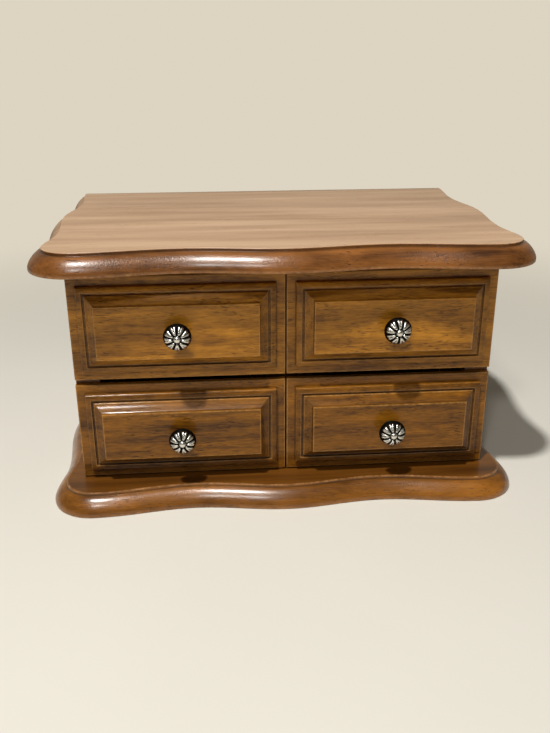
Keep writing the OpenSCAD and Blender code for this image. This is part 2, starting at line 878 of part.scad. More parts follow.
module drawer_side(s, t) {
    x = s * bay_x + t * drawer_w / 2;
    inner = x - t * drawer_side_t;
    color(plain_wood)
        difference() {
            block([min(x, inner), sub_y, drawer_z], [max(x, inner), drawer_y1, drawer_top]);
            bottom_groove(inner - drawer_groove, inner + drawer_groove, sub_y - 1, tail_y);
        }
}

module drawer_back(s) {
    x = s * bay_x;
    w = drawer_w / 2 - drawer_side_t;
    color(plain_wood)
        block([x - w, tail_y, drawer_z], [x + w, drawer_y1, drawer_top]);
}

module drawer_bottom(s) {
    x = s * bay_x;
    w = drawer_w / 2 - drawer_side_t;
    color(plain_wood)
        union() {
            bottom_groove(x - w, x + w, sub_y - drawer_groove + 0.2, tail_y);
            bottom_groove(x - w - drawer_groove + 0.2, x + w + drawer_groove - 0.2, sub_y, tail_y);
        }
}

module drawer_lining(s) {
    x = s * bay_x;
    w = drawer_w / 2 - drawer_side_t - lining_gap;
    z = drawer_floor + drawer_bottom_t;
    color(velvet)
        block([x - w, sub_y + lining_gap, z], [x + w, tail_y - lining_gap, z + floor_lining_t]);
}

module drawer_left_front() { color(wood) front(-front_x, z_lower_mid, lower_front_h); }
module drawer_left_subfront() { drawer_subfront(-1); }
module drawer_left_side_outer() { drawer_side(-1, -1); }
module drawer_left_side_inner() { drawer_side(-1, 1); }
module drawer_left_back() { drawer_back(-1); }
module drawer_left_bottom() { drawer_bottom(-1); }
module drawer_left_lining() { drawer_lining(-1); }
module knob_lower_left() { color(pewter) knob(-front_x, z_lower_mid); }
module knob_screw_lower_left() { knob_screw(-front_x, z_lower_mid, sub_y); }
module drawer_right_front() { color(wood) front(front_x, z_lower_mid, lower_front_h); }
module drawer_right_subfront() { drawer_subfront(1); }
module drawer_right_side_outer() { drawer_side(1, 1); }
module drawer_right_side_inner() { drawer_side(1, -1); }
module drawer_right_back() { drawer_back(1); }
module drawer_right_bottom() { drawer_bottom(1); }
module drawer_right_lining() { drawer_lining(1); }
module knob_lower_right() { color(pewter) knob(front_x, z_lower_mid); }
module knob_screw_lower_right() { knob_screw(front_x, z_lower_mid, sub_y); }

base_board();
base_screws();
side_left();
side_right();
back_panel();
centre_divider();
compartment_floor();
front_rail();
upper_front_left();
upper_front_right();
knob_upper_left();
knob_upper_right();
upper_knob_screws();
floor_lining();
lining_front();
lining_back();
lining_left();
lining_right();
partition_long();
partition_cross();
ring_cushion();
hinge_case_leaves();
hinge_pins();
hinge_case_screws();
lid_board();
mirror_card();
mirror_glass();
mirror_frame_front();
mirror_frame_back();
mirror_frame_left();
mirror_frame_right();
hinge_lid_leaves();
hinge_lid_screws();
drawer_left_front();
drawer_left_subfront();
drawer_left_side_outer();
drawer_left_side_inner();
drawer_left_back();
drawer_left_bottom();
drawer_left_lining();
knob_lower_left();
knob_screw_lower_left();
drawer_right_front();
drawer_right_subfront();
drawer_right_side_outer();
drawer_right_side_inner();
drawer_right_back();
drawer_right_bottom();
drawer_right_lining();
knob_lower_right();
knob_screw_lower_right();
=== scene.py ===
# %% [markdown]
# # A vanity box with a mirror, from its frame to its finish
#
# The construction of this box comes ready as a fixed frame: boards, drawers, hinges and
# screws, each at its real size. This lesson dresses it. Each step first says what the piece or
# the finish is on a real box, then how it can be made, and why one way was chosen. Sizes in the
# modelling steps are in millimetres, as a cabinet maker writes them, and become metres in the mesh.

# %% Load the frame
import json
import math

import bmesh
import bpy
from mathutils import Matrix, Vector, noise

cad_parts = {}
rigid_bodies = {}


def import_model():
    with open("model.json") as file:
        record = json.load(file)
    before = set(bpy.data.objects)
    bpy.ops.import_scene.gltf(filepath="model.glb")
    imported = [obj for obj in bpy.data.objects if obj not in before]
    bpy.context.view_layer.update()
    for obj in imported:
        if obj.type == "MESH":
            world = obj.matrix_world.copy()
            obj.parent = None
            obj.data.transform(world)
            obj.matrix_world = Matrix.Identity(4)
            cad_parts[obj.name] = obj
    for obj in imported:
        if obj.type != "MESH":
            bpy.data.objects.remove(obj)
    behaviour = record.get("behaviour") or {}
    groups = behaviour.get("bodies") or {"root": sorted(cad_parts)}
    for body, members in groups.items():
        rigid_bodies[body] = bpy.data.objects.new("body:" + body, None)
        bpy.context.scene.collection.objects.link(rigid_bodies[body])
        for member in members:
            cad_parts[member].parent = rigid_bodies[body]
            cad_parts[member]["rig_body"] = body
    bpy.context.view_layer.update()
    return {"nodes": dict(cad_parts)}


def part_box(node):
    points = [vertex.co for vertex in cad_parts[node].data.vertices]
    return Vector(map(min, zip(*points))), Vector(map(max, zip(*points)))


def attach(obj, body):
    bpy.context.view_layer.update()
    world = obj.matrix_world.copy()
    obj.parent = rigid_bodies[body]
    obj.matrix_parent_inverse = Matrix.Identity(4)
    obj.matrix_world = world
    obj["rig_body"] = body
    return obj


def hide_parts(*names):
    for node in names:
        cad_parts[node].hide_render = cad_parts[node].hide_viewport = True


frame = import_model()
MM = 0.001

# %% [markdown]
# ## Measures read from the frame
#
# A finer board or front has to sit exactly where the construction has it. The corners of a
# piece's box give its place, so nothing is fitted by eye.

# %% Read the corners of a piece in millimetres
def corners(node):
    """Lowest and highest corner of a piece of the frame, in millimetres."""
    low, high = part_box(node)
    return low / MM, high / MM


base_low, base_high = corners("base_board")
lid_low = corners("lid_board")[0]
side_high = corners("side_right")[1]
print("base board:", [round(v, 1) for v in base_high - base_low], "mm")

# %% [markdown]
# ## Camera
#
# The photograph was taken from a little above the lid, slightly left of the middle. Lens, place
# and angles were solved from the box's own corners, so the picture and the model share one view.

# %% Place the camera
LENS = 38.555
EYE = Vector((-0.03994, -0.50910, 0.25475))
YAW, PITCH, ROLL = 0.07657, 0.37639, -0.00419


def camera_axes():
    """Right, up and backward axes of the camera."""
    forward = Vector((math.sin(YAW) * math.cos(PITCH), math.cos(YAW) * math.cos(PITCH), -math.sin(PITCH)))
    level = Vector((math.cos(YAW), -math.sin(YAW), 0.0))
    upright = level.cross(forward)
    right = math.cos(ROLL) * level + math.sin(ROLL) * upright
    up = math.cos(ROLL) * upright - math.sin(ROLL) * level
    return right, up, -forward


camera = bpy.data.objects.new("camera", bpy.data.cameras.new("camera"))
bpy.context.scene.collection.objects.link(camera)
camera.data.lens = LENS
camera.data.clip_start = 0.01
camera.matrix_world = Matrix.Translation(EYE) @ Matrix(camera_axes()).transposed().to_4x4()
bpy.context.scene.camera = camera
print("camera at", [round(v, 3) for v in EYE], "lens", LENS)

# %% [markdown]
# ## Expressions for shader maths
#
# A finish is a small sum: so much band, a little fibre, less where an edge is worn. Node by node
# that is hard to read, so one class wraps a socket and lets Python's own operators build the
# nodes. Numbers use Math nodes; colours and directions use Vector Math, because a Math node
# would turn a colour grey.

# %% Wrap a socket in arithmetic
class Wire:
    """An output socket that can be added, scaled and compared like a number."""

    def __init__(self, graph, socket):
        self.graph, self.socket = graph, socket

    def _do(self, operation, *values):
        plain = all(not isinstance(v, Wire) or v.socket.type == "VALUE" for v in values)
        if plain:
            return self.graph.node("Math", {"operation": operation}, dict(enumerate(values)))
        wide = [v if isinstance(v, (Wire, tuple, Vector)) else (v, v, v) for v in values]
        return self.graph.node("VectorMath", {"operation": operation}, dict(enumerate(wide)))

    def __add__(self, other): return self._do("ADD", self, other)
    def __radd__(self, other): return self._do("ADD", other, self)
    def __sub__(self, other): return self._do("SUBTRACT", self, other)
    def __rsub__(self, other): return self._do("SUBTRACT", other, self)
    def __mul__(self, other): return self._do("MULTIPLY", self, other)
    def __rmul__(self, other): return self._do("MULTIPLY", other, self)
    def __truediv__(self, other): return self._do("DIVIDE", self, other)
    def __rtruediv__(self, other): return self._do("DIVIDE", other, self)
    def __pow__(self, other): return self._do("POWER", self, other)
    def __rpow__(self, other): return self._do("POWER", other, self)

    def rise(self, low, high):
        """0 below low, 1 above high, and a soft step between them."""
        return self.graph.node("MapRange", {"interpolation_type": "SMOOTHSTEP"},
                               {"Value": self, "From Min": low, "From Max": high})

    def wave(self):
        """A sine of the value, brought to 0..1."""
        return self._do("SINE", self * math.tau) * 0.5 + 0.5


# %% [markdown]
# Every other node comes from one method, which takes the node's type, its settings and what goes
# into its sockets. A finish is one material that is built with it. The values that stay the same
# all over a surface are set directly on the shader.

# %% Build a finish from nodes
def paint(red, green, blue):
    """A colour as seen on a screen, 0 to 255, in the linear numbers that a shader mixes."""
    def linear(c):
        c /= 255
        return c / 12.92 if c <= 0.04045 else ((c + 0.055) / 1.055) ** 2.4
    return (linear(red), linear(green), linear(blue), 1.0)


class Graph:
    """A tree of nodes, of a material or of the sky."""

    def __init__(self, tree):
        self.tree = tree

    def node(self, kind, settings=None, values=None, out=0):
        """A new node with its settings and inputs, as a wire from one of its outputs."""
        made = self.tree.nodes.new("ShaderNode" + kind)
        for key, value in (settings or {}).items():
            setattr(made, key, value)
        for key, value in (values or {}).items():
            if isinstance(value, Wire):
                self.tree.links.new(value.socket, made.inputs[key])
            else:
                made.inputs[key].default_value = value
        return Wire(self, made.outputs[out])


class Finish(Graph):
    """A material with one Principled shader and short ways to feed it."""

    def __init__(self, name, **even):
        self.material = bpy.data.materials.new(name)
        self.material.use_nodes = True
        super().__init__(self.material.node_tree)
        self.shader = self.tree.nodes["Principled BSDF"]
        for socket, value in even.items():
            self.shader.inputs[socket.replace("_", " ")].default_value = value

    def mix(self, share, first, second):
        """first where share is 0 and second where it is 1."""
        return self.node("Mix", {"data_type": "RGBA", "clamp_factor": True},
                         {0: share, 6: first, 7: second}, out=2)

    def place(self, shift=(0, 0, 0)):
        """Where a point lies on its piece, in metres, moved by shift."""
        return self.node("TexCoord", out="Object") + tuple(shift)

    def cloud(self, where, detail=2.0, rough=0.5):
        """Noise whose size is set by how far the place was stretched."""
        return self.node("TexNoise", {"noise_dimensions": "3D"},
                         {"Vector": where, "Scale": 1.0, "Detail": detail, "Roughness": rough})

    def mark(self, name):
        """A number that the mesh carries at each point, such as how worn an edge is."""
        return self.node("Attribute", {"attribute_type": "GEOMETRY", "attribute_name": name}, out="Fac")

    def feed(self, **sockets):
        """Link wires to sockets of the shader, written with _ for a space."""
        for socket, value in sockets.items():
            self.tree.links.new(value.socket, self.shader.inputs[socket.replace("_", " ")])
        return self

    def relief(self, height, depth):
        """Small relief of a depth in metres."""
        bump = self.node("Bump", None, {"Height": height, "Distance": depth, "Strength": 1.0})
        return self.feed(Normal=bump)


print("finish tools ready")

# %% [markdown]
# ## Wood
#
# The box is a brown hardwood under a thin lacquer. Near by, four things show: broad bands
# where growth rings run out, fine fibres along the grain, short dark pores, and a lighter line
# where an arris has rubbed through. A photograph of wood could be wrapped round each piece, but
# it would repeat and tear at the corners. Here the pattern is solid: it is worked out at each
# point inside the board, so it runs over the edges as it does on real timber.

# %% Mix a wood
LACQUER_IOR = 1.5
RING_MM, WOOD_RELIEF = 9.0, 0.00012


def shade(colour, share):
    """A darker tone of a colour, for pores, stains and painted shade."""
    return tuple(c * share for c in colour[:3]) + (1.0,)


def wood(name, along, dark, light, shift, pith=(0.05, -0.16), pores=0.65, stain=0.4,
         worn_to=None, sheen=0.3, rough=(0.36, 0.5)):
    """Lacquered wood whose grain runs along axis 0, 1 or 2, cut at a place in the timber."""
    finish = Finish(name, Coat_Weight=sheen, Coat_Roughness=0.13, Coat_IOR=LACQUER_IOR,
                    Specular_IOR_Level=0.18)
    place = finish.place(shift)

    def grain(length, width):
        """Cells of that length along the grain and that width across it, in mm."""
        return place * tuple(1000 / (length if axis == along else width) for axis in range(3))

    wander = finish.cloud(grain(140, 26), detail=3.0)
    around = [0.06 if axis == along else 1.0 for axis in range(3)]
    centre = [0.0 if axis == along else pith[0] for axis in range(3)]
    centre[2 if along != 2 else 1] = pith[1] if along != 2 else pith[0]
    reach = finish.node("VectorMath", {"operation": "LENGTH"},
                        {0: (place - tuple(centre)) * tuple(around)}, out="Value")
    bands = (reach * (1000 / RING_MM) + wander * 2.6).wave() ** 1.6
    fibres = finish.cloud(grain(22, 0.9), detail=3.0, rough=0.65)
    broad = finish.cloud(grain(70, 16), detail=3.0)
    dash = finish.cloud(grain(7, 1.3), detail=2.0, rough=0.6)
    tone = 0.5 + (bands - 0.45) * 0.22 + (broad - 0.5) * 1.4 + (fibres - 0.5) * 0.8 + (dash - 0.5) * 0.8
    colour = finish.mix(tone, dark, light)
    deep = shade(dark, 0.42)
    smear = finish.cloud(grain(34, 3.2), detail=2.0).rise(0.56, 0.74)
    colour = finish.mix(smear * stain, colour, deep)

    streak = finish.cloud(grain(4.4, 0.6), detail=1.0)
    cluster = finish.cloud(grain(26, 8), detail=1.0).rise(0.38, 0.62)
    pore = streak.rise(0.56, 0.66) * (cluster * 0.85 + 0.15) * pores
    colour = finish.mix(pore, colour, deep)

    scuff = finish.cloud(place * 420.0, detail=3.0)
    worn = finish.mark("worn") * (scuff.rise(0.3, 0.7) * 0.7 + 0.3)
    colour = finish.mix(worn * 0.55, colour, worn_to or light)
    # Painted shade from the mark on the mesh, broken a little by a noise.
    painted_shade = finish.mark("painted_shade") * (scuff * 0.4 + 0.6)
    colour = finish.mix(painted_shade * 0.62, colour, shade(dark, 0.16))

    low, high = rough
    finish.feed(Base_Color=colour, Roughness=low + (high - low) * broad + painted_shade * 0.2 + pore * 0.15)
    peel = finish.cloud(place * 620.0, detail=1.0)
    finish.relief(fibres * 0.3 - pore * 0.9 + scuff * 0.15 + peel * 0.5, WOOD_RELIEF)
    return finish.material


print("wood recipe ready")

# %% [markdown]
# The fronts are the darkest boards. The lower two get a darker copy of the same wood, which is
# painted shade. The case behind them is the same timber, the drawers inside are pale and
# unlacquered, and the mirror frame matches the case. The four fronts are four cuts, so each gets
# its own place in the timber.

# %% Choose the woods
FRONT_DARK, FRONT_LIGHT = paint(94, 54, 6), paint(197, 133, 36)
# A darker copy of the front wood for the two drawer fronts: painted shade.
LOW_DARK, LOW_LIGHT = paint(64, 35, 3), paint(155, 99, 18)
FRONT_WORN = paint(196, 146, 82)
CASE_DARK, CASE_LIGHT = paint(92, 58, 34), paint(150, 104, 64)
FRAME_DARK, FRAME_LIGHT = paint(96, 60, 34), paint(150, 104, 62)
RAW_DARK, RAW_LIGHT = paint(176, 136, 92), paint(222, 186, 138)
RAW = {"pores": 0.35, "stain": 0.12, "sheen": 0.0, "rough": (0.55, 0.7)}
front_finishes = {
    "upper_front_left": wood("front_wood_1", 0, FRONT_DARK, FRONT_LIGHT, (0.31, 0.2, 0.02),
                             worn_to=FRONT_WORN),
    "upper_front_right": wood("front_wood_2", 0, FRONT_DARK, FRONT_LIGHT, (1.4, 0.5, 0.3),
                              pith=(0.09, 0.2), worn_to=FRONT_WORN),
    "drawer_left_front": wood("front_wood_3", 0, LOW_DARK, LOW_LIGHT, (2.3, 0.1, 0.7),
                              pith=(0.02, -0.3), worn_to=FRONT_WORN),
    "drawer_right_front": wood("front_wood_4", 0, LOW_DARK, LOW_LIGHT, (3.1, 0.9, 0.5),
                               pith=(0.3, 0.1), worn_to=FRONT_WORN),
}
case_finish = wood("case_wood", 1, CASE_DARK, CASE_LIGHT, (0.2, 0.1, 0.4))
back_finish = wood("case_wood_back", 0, CASE_DARK, CASE_LIGHT, (0.6, 0.3, 0.1))
drawer_finish = wood("drawer_wood", 0, RAW_DARK, RAW_LIGHT, (0.7, 0.2, 0.6), **RAW)
drawer_side_finish = wood("drawer_wood_sides", 1, RAW_DARK, RAW_LIGHT, (0.4, 0.8, 0.1), **RAW)
frame_finish = wood("frame_wood", 0, FRAME_DARK, FRAME_LIGHT, (0.1, 0.5, 0.2))
frame_side_finish = wood("frame_wood_sides", 1, FRAME_DARK, FRAME_LIGHT, (0.9, 0.2, 0.2))
print("woods mixed:", len([m for m in bpy.data.materials if "wood" in m.name]))

# %% [markdown]
# Lid and base are the show boards. The flat of the lid is pale and satin: its tones are the
# wood's colour with painted sheen, the pale wall reflected at a glancing angle. The flat of the
# base has kept its brown. The moulded edges are darker and glossier, because end grain and
# curves soak up more stain and lacquer. One mark on the mesh, from 0 on the flat to 1 on the
# moulding, drives that change.

# %% Mix the lacquered boards
BOARD_RELIEF, BOARD_WORN = 0.00014, paint(190, 138, 84)


def board_wood(name, shift, flat_dark, flat_light, edge_dark, edge_light, sheen=0.45):
    """Lacquered wood with its grain along x, in two colours for the flat and two for the edge."""
    finish = Finish(name, Coat_Weight=sheen, Coat_Roughness=0.2, Coat_IOR=LACQUER_IOR,
                    Specular_IOR_Level=0.3)
    place = finish.place(shift)

    def grain(length, width):
        """Cells of that length along x and that width across it, in mm."""
        return place * (1000 / length, 1000 / width, 1000 / width)

    wander = finish.cloud(grain(190, 20), detail=3.0)
    reach = finish.node("VectorMath", {"operation": "LENGTH"},
                        {0: (place - (0.0, 0.11, -0.3)) * (0.05, 1.0, 1.0)}, out="Value")
    bands = (reach * 95.0 + wander * 3.2).wave()
    fibres = finish.cloud(grain(34, 0.9), detail=3.0, rough=0.65)
    broad = finish.cloud(grain(170, 16), detail=3.0)
    patch = finish.cloud(grain(26, 14), detail=3.0, rough=0.6)
    tone = 0.5 + (bands - 0.5) * 0.18 + (broad - 0.5) * 1.5 + (fibres - 0.5) * 0.7
    flat = finish.mix(tone, flat_dark, flat_light)
    edge = finish.mix(tone + (patch - 0.5) * 0.9, edge_dark, edge_light)
    moulded = finish.mark("moulded")
    colour = finish.mix(moulded, flat, edge)

    streak = finish.cloud(grain(5.0, 0.6), detail=1.0)
    pore = streak.rise(0.62, 0.70) * (patch.rise(0.42, 0.66) * 0.8 + 0.15) * (0.35 + moulded * 0.45)
    colour = finish.mix(pore, colour, shade(edge_dark, 0.3))

    scuff = finish.cloud(place * 380.0, detail=3.0)
    chip = finish.cloud(place * 160.0, detail=2.0).rise(0.6, 0.66)
    worn = finish.mark("worn") * (scuff.rise(0.3, 0.7) * 0.6 + 0.15 + chip * 0.4)
    colour = finish.mix(worn * 0.6, colour, BOARD_WORN)
    # Painted shade from the mark on the mesh: in inner corners and on the step under the flat.
    painted_shade = finish.mark("painted_shade")
    colour = finish.mix(painted_shade * 0.6, colour, shade(edge_dark, 0.25))

    finish.feed(Base_Color=colour,
                Roughness=0.42 - moulded * 0.12 + (patch - 0.5) * 0.14 + worn * 0.15)
    peel = finish.cloud(place * 1100.0, detail=1.0)
    uneven = (scuff * 0.3 + patch * 0.5 + peel * 0.6) * moulded + peel * 0.08
    finish.relief(fibres * 0.2 - pore * 0.8 + uneven, BOARD_RELIEF)
    return finish.material


# The lid's flat tones are paler and cooler than the base's: painted sheen over the wood's colour.
lid_finish = board_wood("board_wood_lid", (0.3, 0.02, 0.1), paint(157, 121, 90), paint(210, 176, 142),
                        paint(64, 35, 13), paint(158, 100, 46), sheen=0.28)
base_finish = board_wood("board_wood_base", (1.3, 0.4, 0.6), paint(66, 35, 4), paint(124, 76, 20),
                         paint(68, 38, 8), paint(158, 100, 34))
print("board finishes ready")

# %% [markdown]
# ## Metal, mirror and velvet
#
# The knobs are cast pewter that was blackened and then rubbed, so the hollows stay dark and
# the high places shine. The hollows are marked on the mesh when the knob is modelled.

# %% Mix the pewter
def pewter():
    """Blackened casting with bright high places."""
    finish = Finish("pewter_aged", Metallic=1.0)
    place = finish.place()
    fine = finish.cloud(place * 900.0, detail=3.0)
    broad = finish.cloud(place * 260.0, detail=2.0)
    hollow = finish.mark("hollow")
    dark = (hollow * 1.3 + (broad - 0.5) * 0.7 + (fine - 0.5) * 0.4).rise(0.12, 0.70)
    colour = finish.mix(dark, paint(226, 224, 216), paint(22, 21, 18))
    finish.feed(Base_Color=colour, Roughness=0.26 + dark * 0.36 + (fine - 0.5) * 0.16)
    finish.relief(fine * 0.6 + broad * 0.4, 0.00008)
    return finish.material


pewter_finish = pewter()
print("pewter mixed")

# %% [markdown]
# Brass hinges and steel screws are machined and a little tarnished: one recipe, two colours.
# The mirror is silvered glass, which is bright metal with hardly any roughness and faint
# clouding towards the edges, where damp gets behind the silver.

# %% Mix the small metals and the mirror
def bare_metal(name, clean, dull, rough):
    """Turned or stamped metal with fine scratches, clean in places and dull in others."""
    finish = Finish(name, Metallic=1.0)
    place = finish.place()
    tarnish = finish.cloud(place * 140.0, detail=4.0)
    scratch = finish.cloud(place * (90.0, 2400.0, 2400.0), detail=1.0)
    finish.feed(Base_Color=finish.mix(tarnish.rise(0.35, 0.75), clean, dull),
                Roughness=rough + (tarnish - 0.5) * 0.25 + (scratch - 0.5) * 0.1)
    return finish.relief(scratch * 0.5 + tarnish * 0.5, 0.00004).material


def silvered():
    """The silver behind the glass, with faint clouds and a few spots."""
    finish = Finish("mirror_silvered", Metallic=1.0)
    place = finish.place()
    cloud = finish.cloud(place * 60.0, detail=5.0)
    spots = finish.cloud(place * 420.0, detail=2.0).rise(0.68, 0.74)
    finish.feed(Base_Color=finish.mix(spots * 0.5 + (cloud - 0.5) * 0.1, paint(226, 232, 232),
                                      paint(120, 120, 112)),
                Roughness=0.015 + spots * 0.2)
    return finish.relief(cloud, 0.000004).material


brass_finish = bare_metal("hinge_brass_worn", paint(206, 168, 92), paint(138, 104, 52), 0.34)
steel_finish = bare_metal("screw_steel_plain", paint(196, 198, 200), paint(120, 120, 118), 0.36)
mirror_finish = silvered()
print("metals and mirror mixed")

# %% [markdown]
# Velvet is a pile of short fibres standing on end. It looks dark where it is seen straight on
# and pale along its edges, and it keeps the marks of fingers. The sheen of the shader gives the
# pale edges; a noise that is stretched a little gives the brushed patches.

# %% Mix the velvet
def velvet(name, deep, bright):
    """Short pile with brushed patches, between a deep and a bright tone."""
    finish = Finish(name, Roughness=0.9, Sheen_Weight=0.6, Sheen_Roughness=0.35,
                    Sheen_Tint=(0.95, 0.55, 0.5, 1.0))
    place = finish.place()
    pile = finish.cloud(place * 1500.0, detail=2.0, rough=0.7)
    brushed = finish.cloud(place * (38.0, 60.0, 60.0), detail=3.0)
    colour = finish.mix((brushed - 0.5) * 1.3 + 0.45 + (pile - 0.5) * 0.9, deep, bright)
    finish.feed(Base_Color=colour, Roughness=0.82 + (brushed - 0.5) * 0.2)
    return finish.relief(pile * 0.7 + brushed * 0.6, 0.00025).material


velvet_finish = velvet("velvet_red", paint(66, 8, 18), paint(128, 26, 40))
print("velvet mixed")

# %% [markdown]
# ## From sections to solids
#
# A joiner thinks of a moulding as a section that is run along an edge. The same thought makes
# the meshes: a section is a short list of corners, every sharp corner is eased by a small arc,
# and the eased section is swept round the outline of the piece. The arc also says where an edge
# is rubbed, and where an inner corner gets painted shade.

# %% Ease the corners of a section
ARC = (0.0, 0.5, 1.0)


def eased(section, radius=0.35, reach=0.9, sharp=25.0):
    """(inset, height, worn, painted shade) along a section whose sharp corners are rounded."""
    points = [Vector(p) for p in section]
    out = [(*points[0], 0.0, 0.0)]
    for before, corner, after in zip(points, points[1:], points[2:]):
        back, ahead = before - corner, after - corner
        turn = math.degrees(math.atan2(-back.x * ahead.y + back.y * ahead.x, -back.dot(ahead)))
        if abs(turn) < sharp:
            out.append((*corner, 0.0, 0.0))
            continue
        cut = min(radius, 0.3 * back.length, 0.3 * ahead.length)
        # Outer corners are marked worn; inner corners get painted shade.
        worn, painted_shade = (1.0, 0.0) if turn < 0 else (0.0, 1.0)
        if back.length > 2 * (cut + reach):
            out.append((*(corner + back.normalized() * (cut + reach)), 0.0, 0.0))
        for share in ARC:
            a = corner + back.normalized() * cut * (1 - share)
            b = corner + ahead.normalized() * cut * share
            out.append((*(a * (1 - share) + b * share), worn, painted_shade))
        if ahead.length > 2 * (cut + reach):
            out.append((*(corner + ahead.normalized() * (cut + reach)), 0.0, 0.0))
    out.append((*points[-1], 0.0, 0.0))
    return out


print("an eased square corner:", len(eased([(0, 0), (0, 9), (9, 9)])), "points")

# %% [markdown]
# A piece that takes the place of a plainer one in the frame rides on its body, hides it, has a
# finish of its own, and carries its marks as numbers on the points of its mesh.

# %% Turn points and faces into a piece
def piece(name, points, faces, finish, node, marks=None, crease=32.0):
    """A mesh in millimetres that stands for a node of the frame."""
    mesh = bpy.data.meshes.new(name)
    mesh.from_pydata([Vector(p) * MM for p in points], [], faces)
    for mark, values in (marks or {}).items():
        mesh.attributes.new(mark, "FLOAT", "POINT").data.foreach_set("value", values)
    shaped = bmesh.new()
    shaped.from_mesh(mesh)
    bmesh.ops.recalc_face_normals(shaped, faces=shaped.faces)
    shaped.to_mesh(mesh)
    shaped.free()
    mesh.materials.append(finish)
    mesh.shade_smooth()
    mesh.set_sharp_from_angle(angle=math.radians(crease))
    made = bpy.data.objects.new(name, mesh)
    bpy.context.scene.collection.objects.link(made)
    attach(made, frame["nodes"][node]["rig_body"])
    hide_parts(node)
    return made


print("piece maker ready")

# %% [markdown]
# ## The wavy boards
#
# Lid and base are sawn to one template: a bulge in the middle of the front, a hollow on each
# side of it, round ears at the front corners, and a softer wave down the sides to square back
# corners. The outline is a chain of half cosine waves, which meet without a kink, and a quarter
# ellipse for each ear.

# %% Draw the outline of the boards
CASE_HALF = side_high.x
FACE_Y = -73.75
BOARD_BACK = base_high.y
EAR_OUT, BULGE_OUT, DIP_OUT = FACE_Y - base_low.y, 27.5, 21.5
EAR_ROUND = (26.0, 26.5)
EAR_Y = FACE_Y - EAR_OUT + EAR_ROUND[1]
SIDE_OUTS = (18.4, 15.4, 20.2, 15.4, 19.2)
SIDE_TURNS = (0.0, 0.17, 0.49, 0.74, 1.0)
FINE = 18


def soft_step(value, low, high):
    """0 below low, 1 above high, and a smooth step between them."""
    t = min(max((value - low) / (high - low), 0.0), 1.0)
    return t * t * (3 - 2 * t)


def swing(a, b, t):
    """Half a cosine wave from a to b."""
    return a + (b - a) * (1 - math.cos(math.pi * t)) / 2


def half_outline():
    """The outline from the middle of the front to the right back corner."""
    ear_x = CASE_HALF + SIDE_OUTS[0] - EAR_ROUND[0]
    dip_x = ear_x * 0.48
    shares = [i / FINE for i in range(FINE)]
    run = BOARD_BACK - EAR_Y
    edge = [(dip_x * t, FACE_Y - swing(BULGE_OUT, DIP_OUT, t)) for t in shares]
    edge += [(dip_x + (ear_x - dip_x) * t, FACE_Y - swing(DIP_OUT, EAR_OUT, t)) for t in shares]
    edge += [(ear_x + EAR_ROUND[0] * math.sin(t * math.pi / 2),
              EAR_Y - EAR_ROUND[1] * math.cos(t * math.pi / 2)) for t in shares]
    for k in range(4):
        edge += [(CASE_HALF + swing(SIDE_OUTS[k], SIDE_OUTS[k + 1], t),
                  EAR_Y + run * (SIDE_TURNS[k] + (SIDE_TURNS[k + 1] - SIDE_TURNS[k]) * t))
                 for t in shares]
    return edge + [(CASE_HALF + SIDE_OUTS[4], BOARD_BACK)]


right_edge = half_outline()
outline = [(-x, y) for x, y in right_edge[:0:-1]] + right_edge
print("outline:", len(outline), "points,", round(2 * max(p[0] for p in outline), 1), "mm wide")

# %% [markdown]
# The edge of each board is moulded: a full rounding that ends in a small square step below the
# flat face. The section is swept round the outline, and the mark for the moulding turns off on
# the flat, so that the shader can change from satin face to glossy edge. Down the sides of the
# lid the mark fades out as the rounding rises, so that its top takes the pale tone of the flat:
# that is painted sheen. The step under the flat is given painted shade.

# %% Sweep the moulding round the outline
BOARD_T = base_high.z - base_low.z
OVOLO_W, OVOLO_FULL, STEP_H, FOOT = 7.7, 1.45, 1.7, 2.0
UNDER, FACE_SKIN, QUARTER_STEPS = 0.5, 0.3, 14
# Where, and how strongly, painted sheen pales the top of the lid's moulding down its sides.
SHEEN_ALONG, SHEEN_UP, SHEEN_SHARE = (EAR_Y - 6, EAR_Y + 22), (BOARD_T * 0.45, BOARD_T * 0.7), 0.8


def outward(i):
    """Direction out of the board at a point of the outline; the back corners stay square."""
    if i in (0, len(outline) - 1):
        return Vector((-1.0 if i == 0 else 1.0, 0.0))
    ahead = Vector(outline[i + 1]) - Vector(outline[i - 1])
    return Vector((ahead.y, -ahead.x)).normalized()


